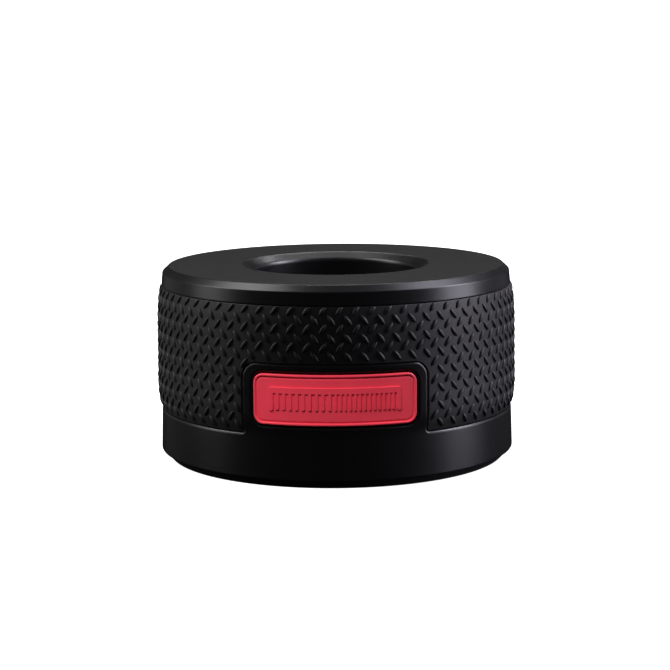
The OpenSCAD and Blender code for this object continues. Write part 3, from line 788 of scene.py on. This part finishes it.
def spring(x):
    """A helix of round wire: at turn t the centre line is at angle 360 t, and rises evenly but for
    one closed turn at each end."""
    around, sides = 28, 8
    t = np.linspace(0, SPRING_TURNS, SPRING_TURNS * around + 1)[:, None]
    span = SPRING_HIGH - SPRING_LOW - 2 * WIRE_R
    closed = 2 * WIRE_R + 0.03
    rise = np.interp(t, [0, 1, SPRING_TURNS - 1, SPRING_TURNS], [0, closed, span - closed, span])
    c = np.linspace(0, 2 * math.pi, sides, endpoint=False)
    a = 2 * math.pi * t
    r = SPRING_MEAN + WIRE_R * np.cos(c)
    z = SPRING_LOW + WIRE_R + rise + WIRE_R * np.sin(c)
    tube = np.stack([x + r * np.cos(a), r * np.sin(a), z], -1)
    ends = np.stack([tube[0].mean(0) + 0 * tube[0], tube[-1].mean(0) + 0 * tube[-1]])
    return Shape().grid(np.concatenate([ends[:1], tube, ends[1:]]), wrap=True, flip=True)


for side, x in (("centre", 0.0), ("left", -8.0), ("right", 8.0)):
    coil = make(f"spring_{side}", spring(x), "base", spring_wire,
                [f"pin_spring_{side}"], sharp=60.0)
    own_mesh(coil)


# ---------------------------------------------------------------- floor, light and camera

def bearing(azimuth, elevation):
    """Unit vector towards azimuth and elevation in radians. Azimuth 0 is in front, 90 degrees is
    to the right."""
    return Vector((math.sin(azimuth) * math.cos(elevation),
                   -math.cos(azimuth) * math.cos(elevation), math.sin(elevation)))


LAMP_DISTANCE = 0.75
LAMP_AIM = Vector((0, 0, 25)) * MM
NEUTRAL, VIOLET = (1.0, 1.0, 1.0), (0.99, 0.95, 1.1)
LAMPS = [  # name, azimuth, elevation, width and height in metres, radiance, colour
    ("softbox_right", 85, 13, 0.36, 0.52, 5.5, VIOLET),
    ("edge_light_right", 95, 36, 0.28, 0.14, 22.0, VIOLET),
    ("softbox_right_high", 100, 54, 0.32, 0.30, 4.9, VIOLET),
    ("softbox_left", -86, 15, 0.36, 0.50, 1.9, NEUTRAL),
    ("edge_light_left", -94, 37, 0.26, 0.14, 8.0, NEUTRAL),
    ("softbox_left_high", -93, 57, 0.34, 0.34, 5.4, NEUTRAL),
    ("side_glow_right", 130, 8, 0.50, 0.36, 0.14, VIOLET),
    ("side_glow_left", -130, 8, 0.50, 0.36, 0.14, NEUTRAL),
    ("floor_bounce_right", 132, -8, 0.50, 0.16, 0.045, NEUTRAL),
    ("floor_bounce_left", -126, -8, 0.55, 0.16, 0.07, NEUTRAL),
    ("back_low", 178, 6, 0.60, 0.16, 0.05, NEUTRAL),
    ("back_high", 178, 66, 0.40, 0.26, 2.3, NEUTRAL),
    ("back_line", 172, 45, 0.50, 0.06, 12.0, NEUTRAL),
    ("front_fill", -17, 48, 0.35, 0.30, 15.5, NEUTRAL),
]
DIFFUSE_ONLY = ("front_fill",)
GLOSS_ONLY = ("softbox_right", "softbox_left")

for name, azimuth, elevation, width, height, radiance, colour in LAMPS:
    # a soft box that faces the base, of power radiance * area * pi
    away = bearing(math.radians(azimuth), math.radians(elevation))
    lamp_data = bpy.data.lights.new(name, "AREA")
    lamp_data.shape = "RECTANGLE"
    lamp_data.size, lamp_data.size_y = width, height
    lamp_data.color = colour
    lamp_data.energy = radiance * width * height * math.pi
    lamp = bpy.data.objects.new(name, lamp_data)
    lamp.location = LAMP_AIM + away * LAMP_DISTANCE
    lamp.rotation_mode = "QUATERNION"
    lamp.rotation_quaternion = away.to_track_quat("Z", "Y")
    lamp.visible_camera = False
    lamp.visible_glossy = name not in DIFFUSE_ONLY
    lamp.visible_diffuse = name not in GLOSS_ONLY
    bpy.context.scene.collection.objects.link(lamp)

floor_mesh = bpy.data.meshes.new("floor")
floor_mesh.from_pydata([(-6, -6, 0), (6, -6, 0), (6, 6, 0), (-6, 6, 0)], [], [(0, 1, 2, 3)])
floor = bpy.data.objects.new("floor", floor_mesh)
bpy.context.scene.collection.objects.link(floor)
pale = bpy.data.materials.new("pale_floor")
pale.use_nodes = True
pale_shader = pale.node_tree.nodes["Principled BSDF"]
pale_shader.inputs["Base Color"].default_value = (0.9, 0.9, 0.9, 1)
pale_shader.inputs["Roughness"].default_value = 0.9
pale_shader.inputs["Emission Color"].default_value = (1, 1, 1, 1)
pale_shader.inputs["Emission Strength"].default_value = 1.0
floor_mesh.materials.append(pale)
floor.visible_glossy = False
floor.visible_diffuse = False
floor.visible_shadow = False

# dim grey all round for the base, and white behind it
world = bpy.data.worlds.new("studio")
bpy.context.scene.world = world
world.use_nodes = True
sky = world.node_tree
sky_light = sky.nodes["Background"]
ray = sky.nodes.new("ShaderNodeLightPath")
shade = sky.nodes.new("ShaderNodeMix")
shade.data_type = "RGBA"
sky.links.new(ray.outputs["Is Camera Ray"], shade.inputs["Factor"])
shade.inputs["A"].default_value = (0.0066, 0.0066, 0.007, 1)
shade.inputs["B"].default_value = (1.2, 1.2, 1.2, 1)
sky.links.new(shade.outputs["Result"], sky_light.inputs["Color"])

CAMERA_AZIMUTH, CAMERA_ELEVATION, CAMERA_ROLL = (math.radians(v) for v in (0.55, 10.03, -0.484))
CAMERA_DISTANCE = 0.4984
CAMERA_AIM = Vector((0, 0, 0.022))
camera_data = bpy.data.cameras.new("camera")
camera_data.sensor_width = 36.0
camera_data.lens = 106.77
camera_data.shift_x, camera_data.shift_y = -0.00218, 0.0432
camera_data.clip_start, camera_data.clip_end = 0.01, 20.0
camera = bpy.data.objects.new("camera", camera_data)
bpy.context.scene.collection.objects.link(camera)
camera.matrix_world = (
    Matrix.Translation(CAMERA_AIM + bearing(CAMERA_AZIMUTH, CAMERA_ELEVATION) * CAMERA_DISTANCE)
    @ Matrix.Rotation(CAMERA_AZIMUTH, 4, "Z")
    @ Matrix.Rotation(math.pi / 2 - CAMERA_ELEVATION, 4, "X")
    @ Matrix.Rotation(CAMERA_ROLL, 4, "Z"))
bpy.context.scene.camera = camera
bpy.context.scene.view_settings.view_transform = "Standard"
